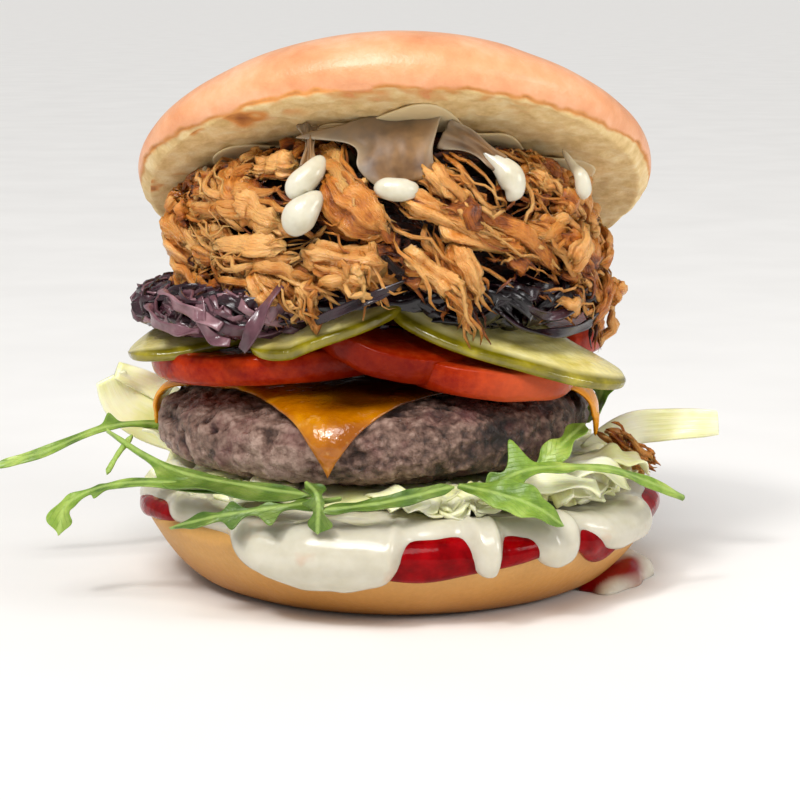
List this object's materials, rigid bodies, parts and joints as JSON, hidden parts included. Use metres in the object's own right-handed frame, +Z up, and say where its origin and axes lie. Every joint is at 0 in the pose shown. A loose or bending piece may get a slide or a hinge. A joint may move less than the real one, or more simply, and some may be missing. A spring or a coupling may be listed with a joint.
{
  "type": "pork and beef burger",
  "caption": "Tall burger in a round bun: sauces, salad leaves, a beef patty under melted cheese, tomato, pickle, red cabbage and a heap of pulled pork under a tipped lid",
  "frame": {"origin": "Middle of the lower bun's flat base, on the surface the burger stands on", "axes": "+Z is up, the front that the picture shows faces -Y, and +X is to the right of it"},
  "size_m": [0.1652, 0.1259, 0.12],
  "materials": {
    "bun": "baked golden bread with a soft side and a pale cut face",
    "crust": "glazed peach-brown brioche crust over a pale crumb",
    "ketchup": "wet deep red sauce",
    "mayonnaise": "wet creamy sauce",
    "iceberg": "crisp pale translucent salad",
    "rocket": "fresh green leaf, paler below",
    "beef": "moist minced beef, grey-brown and coarse",
    "cheese": "half melted amber cheese",
    "tomato": "wet red flesh under a shiny skin",
    "pickle": "wet olive-yellow skin and pale flesh",
    "cabbage": "braised purple shreds, glossy",
    "pork": "pulled fibrous pork, tan with dark roasted bits"
  },
  "bodies": {
    "root": {"bun_heel": "bun", "ketchup": "ketchup", "mayo_lower": "mayonnaise", "sauce_spill": "mayonnaise", "beef_patty": "beef", "cheese_slice": "cheese", "iceberg_shreds": "iceberg", "rocket_leaf_01": "rocket", "rocket_leaf_02": "rocket", "rocket_leaf_03": "rocket", "rocket_leaf_04": "rocket", "rocket_leaf_05": "rocket", "rocket_leaf_06": "rocket", "rocket_leaf_07": "rocket", "rocket_leaf_08": "rocket", "rocket_leaf_09": "rocket", "rocket_leaf_10": "rocket", "rocket_leaf_11": "rocket", "rocket_leaf_12": "rocket", "rocket_leaf_13": "rocket", "pickle_left": "pickle", "pickle_middle": "pickle", "pickle_right": "pickle", "pickle_back": "pickle", "tomato_left": "tomato", "tomato_back": "tomato", "tomato_middle": "tomato", "tomato_right": "tomato", "bun_crown": "crust", "red_cabbage": "cabbage", "mayo_upper": "mayonnaise", "pulled_pork": "pork", "pork_scrap": "pork"}
  },
  "joints": []
}
